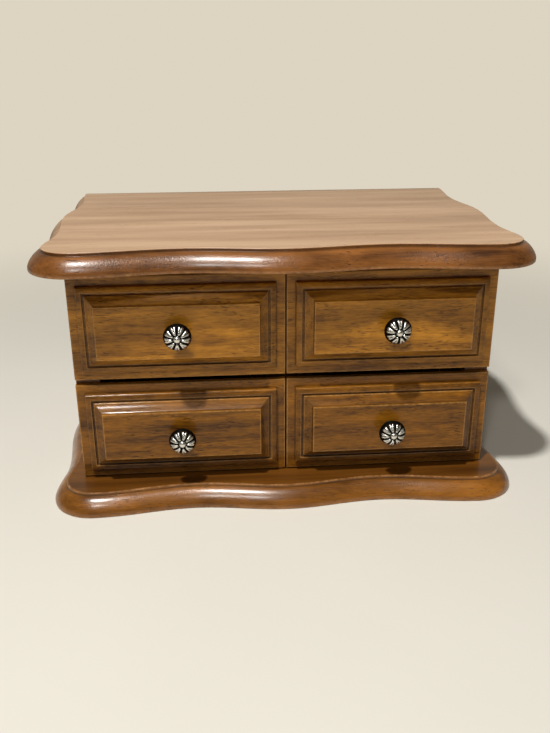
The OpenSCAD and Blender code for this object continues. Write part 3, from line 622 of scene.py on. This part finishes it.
def board(name, z, node, finish, wear_vs_sheen, step_shade):
    """One board; the first number is how bright its upper arris is from wear, and one less it how far
    painted sheen pales the moulding down the sides; the second is the painted shade on the step under the
    flat.
    """
    quarter = [math.pi / 2 * k / QUARTER_STEPS for k in range(QUARTER_STEPS + 1)]
    bend = 2 / OVOLO_FULL
    section = [(UNDER + 3, 0.0), (UNDER, 0.0), (0.0, UNDER)]
    section += [(OVOLO_W * (1 - max(0.0, math.cos(a)) ** bend),
                 FOOT + (BOARD_T - STEP_H - FOOT) * math.sin(a) ** bend) for a in quarter]
    section += [(OVOLO_W + FACE_SKIN, BOARD_T), (OVOLO_W + 4, BOARD_T)]
    rings = eased(section, radius=0.5, reach=0.7)
    points, faces, worn, painted_shade, moulded = [], [], [], [], []
    for inset, height, wear, corner_shade in rings:
        # The step under the flat, which gets painted shade.
        above = soft_step(height, BOARD_T - STEP_H - 0.6, BOARD_T - STEP_H)
        on_face = height > BOARD_T - FACE_SKIN
        for i, corner in enumerate(outline):
            place = Vector(corner) - inset * outward(i)
            points.append((place.x, place.y, z + height))
            # Painted sheen: down the sides of the lid the top of the moulding takes the pale tone of the
            # flat.
            beside = soft_step(corner[1], *SHEEN_ALONG) * (1 - wear_vs_sheen)
            pale = beside * soft_step(height, *SHEEN_UP)
            worn.append(wear * (wear_vs_sheen if height > BOARD_T / 2 else 1.0))
            # Painted shade in inner corners and on the step, taken away where the painted sheen lies.
            painted_shade.append(max(corner_shade, 0.0 if on_face else step_shade * above) * (1 - pale))
            moulded.append(0.0 if on_face else 1 - SHEEN_SHARE * pale)
    count = len(outline)
    for ring in range(len(rings) - 1):
        for i in range(count):
            j = (i + 1) % count
            a, b = ring * count, (ring + 1) * count
            faces.append((a + i, a + j, b + j, b + i))
    top = (len(rings) - 1) * count
    faces.append(tuple(reversed(range(count))))
    faces.append(tuple(top + i for i in range(count)))
    return piece(name, points, faces, finish, node,
                 {"worn": worn, "painted_shade": painted_shade, "moulded": moulded})


# Last two numbers: wear of the upper arris against painted sheen, and painted shade on the step.
base = board("base_board_moulded", base_low.z, "base_board", base_finish, 1.0, 0.3)
lid = board("lid_board_moulded", lid_low.z, "lid_board", lid_finish, 0.25, 1.0)
print("boards:", len(base.data.vertices), "points each")

# %% [markdown]
# Two things are cut out of the boards. The lid has a mortise for each hinge leaf and a wider
# gain that clears the knuckles. The base has countersinks for its eight screws. A cut after
# the sweep, with a Boolean whose result is kept, leaves the moulding as it is.

# %% Cut mortises and countersinks
def cutter(boxes=(), cones=()):
    """An object made of boxes, given by two corners, and of cones, all in millimetres."""
    shaped = bmesh.new()
    for low, high in boxes:
        middle = (Vector(low) + Vector(high)) / 2 * MM
        size = (Vector(high) - Vector(low)) * MM
        bmesh.ops.create_cube(shaped, size=1.0,
                              matrix=Matrix.Translation(middle) @ Matrix.Diagonal((*size, 1.0)))
    for centre, radius_low, radius_high, height in cones:
        bmesh.ops.create_cone(shaped, cap_ends=True, segments=40, radius1=radius_low * MM,
                              radius2=radius_high * MM, depth=height * MM,
                              matrix=Matrix.Translation((Vector(centre) + Vector((0, 0, height / 2))) * MM))
    mesh = bpy.data.meshes.new("cutter")
    shaped.to_mesh(mesh)
    shaped.free()
    tool = bpy.data.objects.new("cutter", mesh)
    bpy.context.scene.collection.objects.link(tool)
    return tool


def cut(made, tool):
    """Take the tool out of a piece and keep the result."""
    modifier = made.modifiers.new("cut", "BOOLEAN")
    modifier.object, modifier.operation, modifier.solver = tool, "DIFFERENCE", "EXACT"
    modifier.use_self = True
    bpy.context.view_layer.update()
    result = bpy.data.meshes.new_from_object(made.evaluated_get(bpy.context.evaluated_depsgraph_get()))
    made.modifiers.clear()
    made.data = result
    bpy.data.objects.remove(tool)


HINGE_X, HINGE_L, LEAF_W, LEAF_T, KNUCKLE = 75.0, 30.0, 8.5, 1.2, 4.0
LEAF_PLAY, GAIN_PLAY = 0.1, 0.3
CASE_BACK = side_high.y
AXIS_Y, AXIS_Z = CASE_BACK + KNUCKLE / 2 + GAIN_PLAY, lid_low.z - 0.25
mortises, gains = [], []
for side in (-HINGE_X, HINGE_X):
    mortises.append(((side - HINGE_L / 2 - LEAF_PLAY, CASE_BACK - LEAF_W - LEAF_PLAY, lid_low.z - 1),
                     (side + HINGE_L / 2 + LEAF_PLAY, CASE_BACK + 1, lid_low.z + LEAF_T)))
    gains.append(((side - HINGE_L / 2 - 1, AXIS_Y - KNUCKLE / 2 - GAIN_PLAY, lid_low.z - 2),
                  (side + HINGE_L / 2 + 1, BOARD_BACK + 2, AXIS_Z + KNUCKLE / 2 + GAIN_PLAY)))
cut(lid, cutter(boxes=mortises))
cut(lid, cutter(boxes=gains))
print("lid cut for hinges at", AXIS_Y, AXIS_Z)

# %% Countersink the base
SIDE_MIDDLE, SIDE_SCREWS = CASE_HALF - 7, (-48.25, 66.75)
DIVIDER_SCREWS, BACK_SCREWS, BACK_MIDDLE = (-36.25, 52.75), (-55.5, 55.5), 91.75
SINK_START, SINK_WIDE, SINK_NARROW, SINK_H = -0.4, 4.65, 2.2, 2.95
screw_rows = [(side * SIDE_MIDDLE, y) for side in (-1, 1) for y in SIDE_SCREWS]
screw_rows += [(0.0, y) for y in DIVIDER_SCREWS] + [(x, BACK_MIDDLE) for x in BACK_SCREWS]
cut(base, cutter(cones=[((x, y, SINK_START), SINK_WIDE, SINK_NARROW, SINK_H) for x, y in screw_rows]))
print("countersinks:", len(screw_rows))

# %% [markdown]
# ## The moulded fronts
#
# Every front is a raised panel: a flat border, a small bead, a sharp groove, a hollow slope and
# a flat field that stands proud. Run round four sides, the section gives nested rectangles, and
# their corners line up as mitres. A round hole in the middle takes the screw of the knob. The
# mouldings get painted shade, most on the lower side and on the side away from the lamps, and
# the top edge of each front is painted fully dark as shade.

# %% Run the section round a front
BORDER_W, BEAD_W, BEAD_STEP, BEAD_RISE, GROOVE = 5.4, 3.4, 2.6, 1.2, 1.4
SLOPE_W, SLOPE_RISE, HOLLOW, FIELD_STEP = 5.1, 5.1, 0.3, 2.2
FIELD_OUT = BEAD_STEP + BEAD_RISE + SLOPE_RISE + FIELD_STEP - GROOVE
EDGE_T, SCREW_HOLE = 3.5, 2.25
# Strengths of painted shade: left and right side mouldings, bottom border, top inner corners, then the
# lower side of drawer and fixed fronts.
LEFT_SIDE_SHADE, RIGHT_SIDE_SHADE, LOWER_BORDER_SHADE, TOP_CORNER_SHADE = 0.3, 0.6, 0.8, 0.3
DRAWER_LOWER_SHADE, FIXED_LOWER_SHADE = 0.9, 0.35


def front_section():
    """Distance from the edge of a front, and height over its border."""
    bead_top = BEAD_STEP + BEAD_RISE
    groove_at = BORDER_W + BEAD_W
    path = [(0.0, -EDGE_T), (0.0, 0.0), (BORDER_W, 0.0), (BORDER_W, BEAD_STEP)]
    path += [(BORDER_W + BEAD_W * (1 - math.cos(a)), BEAD_STEP + BEAD_RISE * math.sin(a))
             for a in (math.pi / 2 * k / 8 for k in range(1, 9))]
    path += [(groove_at, bead_top - GROOVE), (groove_at + GROOVE, bead_top - GROOVE),
             (groove_at + GROOVE, bead_top)]
    path += [(groove_at + GROOVE + SLOPE_W * t,
              bead_top + (SLOPE_RISE - GROOVE) * t * (1 - HOLLOW + HOLLOW * t))
             for t in (k / 8 for k in range(1, 9))]
    path += [(groove_at + GROOVE + SLOPE_W, FIELD_OUT), (groove_at + GROOVE + SLOPE_W + 3, FIELD_OUT)]
    return eased(path, radius=0.3, reach=0.6)


def rim(half_x, half_z, steps=(16, 8)):
    """Points round a rectangle, each side in equal steps."""
    across = [-1 + 2 * i / steps[0] for i in range(steps[0])]
    up = [-1 + 2 * i / steps[1] for i in range(steps[1])]
    return ([(t * half_x, -half_z) for t in across] + [(half_x, t * half_z) for t in up]
            + [(-t * half_x, half_z) for t in across] + [(-half_x, -t * half_z) for t in up])


def front(name, node, finish, lower_shade):
    """A raised panel for a front, with painted shade of a given strength on its lower moulding and border.
    """
    low, high = corners(node)
    half_x, half_z = (high.x - low.x) / 2, (high.z - low.z) / 2
    centre = Vector(((low.x + high.x) / 2, FACE_Y, (low.z + high.z) / 2))
    section = front_section()
    field_in = BORDER_W + BEAD_W + GROOVE + SLOPE_W
    rings = [(rim(half_x - inset, half_z - inset), out, wear, corner_shade)
             for inset, out, wear, corner_shade in section]
    field = rings[-1][0]
    circle = [(SCREW_HOLE * x / math.hypot(x, z), SCREW_HOLE * z / math.hypot(x, z)) for x, z in field]
    rings += [(circle, FIELD_OUT, 0.0, 0.0), (circle, -EDGE_T, 0.0, 0.0)]
    points, faces, worn, painted_shade = [], [], [], []
    for ring, out, wear, corner_shade in rings:
        points += [(centre.x + x, centre.y - out, centre.z + z) for x, z in ring]
        worn += [wear] * len(ring)
        inset = half_z - max(z for _, z in ring)
        sunk = soft_step(inset, BORDER_W - 1.0, BORDER_W + 1.0)
        sunk *= 1 - soft_step(inset, field_in - 1.2, field_in - 0.2)
        # Painted shade: more in the right-hand moulding, away from the lamps, on the lower moulding and
        # border, and full on the top edge.
        for x, z in ring:
            if half_x - abs(x) < half_z - abs(z) + 0.01:
                painted_shade.append(max(corner_shade, (LEFT_SIDE_SHADE if x < 0 else RIGHT_SIDE_SHADE) * sunk))
            elif z < 0:
                painted_shade.append(max(corner_shade, lower_shade * (sunk if inset > BORDER_W else LOWER_BORDER_SHADE)))
            else:
                painted_shade.append(TOP_CORNER_SHADE * corner_shade if inset > 0.5 else 1.0)
    count = len(field)
    for k in range(len(rings)):
        a, b = k * count, (k + 1) % len(rings) * count
        faces += [(a + i, a + (i + 1) % count, b + (i + 1) % count, b + i) for i in range(count)]
    return piece(name, points, faces, finish, node, {"worn": worn, "painted_shade": painted_shade})


for node, finish in front_finishes.items():
    # Drawer fronts get stronger painted shade on their lower side.
    made = front(node + "_moulded", node, finish, DRAWER_LOWER_SHADE if "drawer" in node else FIXED_LOWER_SHADE)
    print(made.name, len(made.data.vertices), "points")

# %% [markdown]
# ## The flower knobs
#
# Each knob is one casting: a foot, a neck, and a domed head with nine petals round a button. It
# is modelled as a grid in polar coordinates. Rings follow the outline of a turned knob, which is
# listed as radius, height and darkness, and the head is then carved: the grooves widen a little
# towards the rim, each petal has a faint hollow and a round end, and a plain sunk ring is left
# outside the petals.

# %% Carve a knob
PETALS, HEAD_R, RIM_OUT, DOME_H = 9, 8.0, 7.6, 5.6
BUTTON_R, BUTTON_H = 1.9, 1.1
CARVED, PETAL_HOLLOW, RING_SUNK, PETAL_CROWN = 0.8, 0.3, 0.5, 0.4
AROUND = PETALS * 18
SHANK = [(1.4, 0.0, 0.6), (4.3, 0.0, 0.6), (4.5, 0.2, 0.5), (4.5, 0.9, 0.4), (4.3, 1.2, 0.6),
         (3.7, 1.7, 0.8), (3.3, 2.3, 0.9), (3.2, 2.9, 0.8), (3.2, 4.0, 0.6), (3.6, 4.6, 0.6),
         (4.4, 5.1, 0.7), (5.7, 5.8, 0.8), (7.0, 6.5, 0.9), (7.7, 7.0, 0.9), (7.95, 7.4, 0.9),
         (8.0, 7.8, 0.9)]
REACH = [7.93, 7.8, 7.6, 7.4, 7.2, 7.0, 6.8, 6.55, 6.3, 6.0, 5.7, 5.4, 5.1, 4.8, 4.5, 4.2, 3.9,
         3.6, 3.3, 3.0, 2.75, 2.5, 2.3, 2.1, 1.95, 1.89, 1.8, 1.65, 1.4, 1.1, 0.75, 0.35]


def head_height(radius, angle):
    """Height over the field, and how dark the place stays when the high places are rubbed."""
    dome = RIM_OUT + 0.4 + (DOME_H - 0.4) * math.sqrt(max(0.0, 1 - (radius / HEAD_R) ** 2))
    across = (angle * PETALS / math.tau + 0.5) % 1.0 - 0.5
    beside = (0.5 - abs(across)) * math.tau * radius / PETALS
    groove = math.exp(-(beside / (0.34 + 0.06 * radius)) ** 2) * soft_step(radius, 1.6, 2.6)
    end = HEAD_R - 0.55 - 1.0 * (2 * across) ** 2 - 0.9 * math.exp(-(across / 0.09) ** 2)
    past = soft_step(radius, end - 0.3, end + 0.3)
    hollow = math.exp(-(across / 0.14) ** 2) * math.exp(-((radius - 5.6) / 1.5) ** 2) * (1 - past)
    ring = math.exp(-((radius - BUTTON_R - 0.45) / 0.35) ** 2)
    crown = PETAL_CROWN * (1 - (2 * across) ** 2) * soft_step(radius, 2.4, 4.0) * (1 - past)
    height = dome + crown - CARVED * max(groove, past) - PETAL_HOLLOW * hollow - RING_SUNK * ring
    dark = max(groove, past, 0.7 * ring, 0.45 * hollow)
    if radius < BUTTON_R:
        height = dome - 0.4 + BUTTON_H * math.sqrt(1 - (radius / BUTTON_R) ** 2)
        dark = 0.35 * (radius / BUTTON_R) ** 4
    return height, dark


def knob(name, node, turn):
    """A knob on the field of its front, turned by an angle in degrees."""
    low, high = corners(node)
    centre = Vector(((low.x + high.x) / 2, FACE_Y - FIELD_OUT, (low.z + high.z) / 2))
    points, faces, hollow = [], [], []
    turned = [(radius, (out, dark)) for radius, out, dark in SHANK] + [(radius, None) for radius in REACH]
    for radius, plain in turned:
        for i in range(AROUND):
            angle = math.tau * i / AROUND
            height, dark = plain or head_height(radius, angle)
            points.append((radius * math.cos(angle), height, radius * math.sin(angle)))
            hollow.append(dark)
    count, rings = AROUND, len(turned)
    for k in range(rings - 1):
        a, b = k * count, (k + 1) * count
        faces += [(a + i, a + (i + 1) % count, b + (i + 1) % count, b + i) for i in range(count)]
    faces += [tuple(range(count)), tuple((rings - 1) * count + i for i in range(count))]
    spin = Matrix.Rotation(math.radians(turn), 3, "Y")
    placed = [centre + spin @ Vector((x, -out, z)) for x, out, z in points]
    return piece(name, placed, faces, pewter_finish, node, {"hollow": hollow}, crease=70)


KNOB_TURNS = {"knob_upper_left": 11.0, "knob_upper_right": -8.0, "knob_lower_left": 3.0,
              "knob_lower_right": 17.0}
for node, turn in KNOB_TURNS.items():
    made = knob(node + "_cast", node, turn)
print("knob:", len(made.data.vertices), "points")

# %% [markdown]
# ## Finishes for the pieces that keep their shape
#
# Case boards, drawer boards, hinges and screws are right as they come. They only need a finish
# and eased arrises. Eased edges catch light, so a small bevel does more for a plain board than
# any texture.

# %% Dress the pieces of the frame
def dress(node, finish, ease=0.0):
    """Give a piece of the frame its finish and eased edges."""
    owner = frame["nodes"][node]
    if not owner.data.materials:
        owner.data.materials.append(finish)
    for index in range(len(owner.material_slots)):
        owner.material_slots[index].link = "OBJECT"
        owner.material_slots[index].material = finish
    if ease:
        bevel = owner.modifiers.new("eased", "BEVEL")
        bevel.width, bevel.segments, bevel.angle_limit = ease * MM, 2, math.radians(40)
        bevel.harden_normals = False


plan = {
    case_finish: ["side_left", "side_right", "centre_divider"],
    back_finish: ["back_panel", "front_rail", "compartment_floor"],
    drawer_finish: [f"drawer_{s}_{p}" for s in ("left", "right") for p in ("subfront", "back", "bottom")],
    drawer_side_finish: [f"drawer_{s}_side_{p}" for s in ("left", "right") for p in ("outer", "inner")],
    frame_finish: ["mirror_frame_front", "mirror_frame_back"],
    frame_side_finish: ["mirror_frame_left", "mirror_frame_right"],
}
for finish, nodes in plan.items():
    for node in nodes:
        dress(node, finish, ease=0.4)
for node in ("hinge_case_leaves", "hinge_lid_leaves", "hinge_pins"):
    dress(node, brass_finish, ease=0.15)
for node in ("hinge_case_screws", "hinge_lid_screws"):
    dress(node, brass_finish)
for node in ("base_screws", "upper_knob_screws", "knob_screw_lower_left", "knob_screw_lower_right"):
    dress(node, steel_finish)
dress("mirror_glass", mirror_finish, ease=0.4)
print("dressed:", sum(len(n) for n in plan.values()) + 10, "pieces of the frame")

# %% [markdown]
# ## Velvet linings
#
# The linings are velvet glued over thin card. Their edges are round, because the cloth turns
# over the card, and their faces are not quite flat. Each one is a fine grid with round edges
# whose points sink in by a small noise.

# %% Cover the linings
def lining(node, ease=0.5, cell=5.0, sink=0.12):
    """A thin panel with turned-over edges that fills the box of its node."""
    low, high = corners(node)
    size = high - low
    shaped = bmesh.new()
    middle = (low + high) / 2
    bmesh.ops.create_cube(shaped, size=1.0,
                          matrix=Matrix.Translation(middle) @ Matrix.Diagonal((*size, 1.0)))
    bmesh.ops.bevel(shaped, geom=shaped.edges[:], offset=min(ease, min(size) * 0.45), segments=3,
                    profile=0.5, affect="EDGES")
    for axis in range(3):
        steps = int(size[axis] / cell)
        normal = Vector([1.0 if a == axis else 0.0 for a in range(3)])
        for i in range(1, steps):
            where = low.copy()
            where[axis] = low[axis] + size[axis] * i / steps
            bmesh.ops.bisect_plane(shaped, geom=shaped.verts[:] + shaped.edges[:] + shaped.faces[:],
                                   plane_co=where, plane_no=normal)
    thin = min(range(3), key=lambda a: size[a])
    for vert in shaped.verts:
        push = (noise.noise(vert.co * 0.09) * 0.5 + 0.5) * sink
        inward = (middle - vert.co)[thin]
        vert.co[thin] += math.copysign(min(push, abs(inward) * 0.5), inward)
    points = [v.co.copy() for v in shaped.verts]
    faces = [tuple(v.index for v in f.verts) for f in shaped.faces]
    shaped.free()
    piece(node + "_velvet", points, faces, velvet_finish, node, crease=60)


LININGS = ["floor_lining", "lining_front", "lining_back", "lining_left", "lining_right",
           "drawer_left_lining", "drawer_right_lining", "mirror_card"]
for node in LININGS:
    lining(node)
for node in ("partition_long", "partition_cross"):
    lining(node, ease=1.3, cell=4.0, sink=0.25)
print("linings:", len(LININGS) + 2)

# %% [markdown]
# ## The ring cushion
#
# Rings are kept in the slits between padded rolls. A roll is a strip of foam in velvet: full on
# top, tight in the slit, drawn down and in at its ends, with small puckers where the cloth is
# tucked under. It could be blown up by a cloth simulation, but six rolls side by side would
# fight each other in it, so the form is written out: a grid whose height is an arch across each
# roll and a crown along it, with puckers that fade away from the tucks.

# %% Model the cushion
ROLLS, SLIT_H, EDGE_H = 6, 11.0, 4.0
PULL_IN, SLUMP, PUCKER = 1.2, 0.6, 0.35
ALONG, ACROSS = 44, ROLLS * 16


def cushion_height(u, v, full):
    """Height over the floor of the case at a share u along a roll and v across all of them."""
    roll, local = math.floor(min(v * ROLLS, ROLLS - 1e-6)), (v * ROLLS) % 1.0
    if v >= 1.0:
        local = 1.0
    arch = math.sqrt(max(0.0, 1 - (2 * local - 1) ** 2)) ** 0.8
    crown = full * (0.985 - 0.30 * abs(2 * u - 1) ** 4)
    end = (1 - abs(2 * u - 1) ** 12) ** 0.5
    slump = SLUMP * noise.noise(Vector((u * 3, roll * 5.1, 0.3)))
    pucker = PUCKER * math.sin(u * 61 + roll * 2.1) * (1 - arch) * end
    height = SLIT_H + (crown - SLIT_H + slump * arch) * arch + pucker * 0.6
    return EDGE_H + (height - EDGE_H) * end


def ring_cushion():
    """Six rolls in one closed form, flat below, whose sides pull in between the corners."""
    low, high = corners("ring_cushion")
    size = high - low
    points, faces = [], []
    for i in range(ALONG + 1):
        u = 0.5 - math.cos(math.pi * i / ALONG) / 2
        for j in range(ACROSS + 1):
            v = j / ACROSS
            pull_x = PULL_IN * math.sin(math.pi * v) * (1 - 2 * u) * abs(1 - 2 * u) ** 3
            pull_y = PULL_IN * math.sin(math.pi * u) * (1 - 2 * v) * abs(1 - 2 * v) ** 3
            points.append((low.x + size.x * u + pull_x, low.y + size.y * v + pull_y,
                           low.z + cushion_height(u, v, size.z)))
    wide = ACROSS + 1
    faces += [(i * wide + j, (i + 1) * wide + j, (i + 1) * wide + j + 1, i * wide + j + 1)
              for i in range(ALONG) for j in range(ACROSS)]
    rim_ids = ([i * wide for i in range(ALONG)] + [ALONG * wide + j for j in range(ACROSS)]
               + [i * wide + ACROSS for i in range(ALONG, 0, -1)] + [j for j in range(ACROSS, 0, -1)])
    foot = len(points)
    points += [(points[k][0], points[k][1], low.z) for k in rim_ids]
    count = len(rim_ids)
    faces += [(rim_ids[k], rim_ids[(k + 1) % count], foot + (k + 1) % count, foot + k)
              for k in range(count)]
    faces.append(tuple(foot + k for k in range(count)))
    return piece("ring_cushion_padded", points, faces, velvet_finish, "ring_cushion", crease=80)


cushion = ring_cushion()
print("cushion:", len(cushion.data.vertices), "points")

# %% [markdown]
# ## Studio
#
# The box stands on a pale table. A small lamp high up, in front and a little to the left, gives
# the light and the short shadows under the knobs. A weaker one lower down gives the second white
# line on the lacquered edges and fills the shadows, with a faint sky. The wall behind the box is
# part of the sky: the camera sees it at its full brightness, and lacquer and glass see it at
# half, which is why the lid looks paler towards the back.

# %% Lay the floor and light the scene
SKY_LIGHT, SKY_SEEN, WALL_SEEN = 0.15, 1.0, 0.5
FADE, BEHIND = (0.24, 0.75), (221, 212, 194)
FLOOR_HALF, FLOOR_DARK, FLOOR_LIGHT = 3.0, paint(219, 217, 207), paint(226, 224, 216)
WARM_WHITE, MIDDLE = (1.0, 0.97, 0.93), Vector((0, 0, 0.08))


def floor():
    """A pale table top that fades, for the camera alone, into the cream behind it."""
    mesh = bpy.data.meshes.new("floor")
    ends = ((-1, -1), (1, -1), (1, 1), (-1, 1))
    mesh.from_pydata([(x * FLOOR_HALF, y * FLOOR_HALF, 0) for x, y in ends], [], [(0, 1, 2, 3)])
    finish = Finish("floor_cream", Roughness=0.6)
    place = finish.place()
    tone = finish.cloud(place * 6.0, detail=3.0)
    finish.feed(Base_Color=finish.mix(tone, FLOOR_DARK, FLOOR_LIGHT))
    away = finish.node("VectorMath", {"operation": "LENGTH"}, {0: place}, out="Value").rise(*FADE)
    glow = finish.node("Emission", None, {"Color": paint(*BEHIND)}, out="Emission")
    seen = finish.node("LightPath", out="Is Camera Ray") * away
    principled = Wire(finish, finish.shader.outputs[0])
    surface = finish.node("MixShader", None, {0: seen, 1: principled, 2: glow}, out="Shader")
    finish.tree.links.new(surface.socket, finish.tree.nodes["Material Output"].inputs["Surface"])
    mesh.materials.append(finish.material)
    made = bpy.data.objects.new("floor", mesh)
    bpy.context.scene.collection.objects.link(made)


def lamp(name, place, size, power):
    """A round lamp at a place in metres that looks at the middle of the box."""
    light = bpy.data.lights.new(name, "AREA")
    light.shape, light.size, light.energy, light.color = "DISK", size, power, WARM_WHITE
    made = bpy.data.objects.new(name, light)
    made.location = place
    made.rotation_euler = (MIDDLE - Vector(place)).to_track_quat("-Z", "Y").to_euler()
    bpy.context.scene.collection.objects.link(made)


def sky():
    """A plain cream sky, faint on the box, full for the camera and half as bright in lacquer."""
    world = bpy.data.worlds.new("studio")
    bpy.context.scene.world = world
    world.use_nodes = True
    graph = Graph(world.node_tree)
    toward = graph.node("SeparateXYZ", None, {0: graph.node("TexCoord", out="Generated")}, out="Y")
    behind = graph.node("MapRange", None, {"Value": toward, "From Min": 0.2, "From Max": 0.8,
                                           "To Min": SKY_LIGHT, "To Max": WALL_SEEN})
    glossy = graph.node("LightPath", out="Is Glossy Ray")
    camera_ray = graph.node("LightPath", out="Is Camera Ray")
    mirrored = SKY_LIGHT + glossy * (behind - SKY_LIGHT)
    strength = mirrored + camera_ray * (SKY_SEEN - mirrored)
    background = graph.tree.nodes["Background"]
    background.inputs["Color"].default_value = paint(*BEHIND)
    graph.tree.links.new(strength.socket, background.inputs["Strength"])


floor()
lamp("key_high", (-0.30, -0.575, 1.46), 0.09, 22.0)
lamp("key_low", (-0.31, -1.12, 1.12), 0.15, 4.8)
sky()
bpy.context.scene.view_settings.view_transform = "Standard"
print("studio lit")

# %% End of the build
print("scene built")
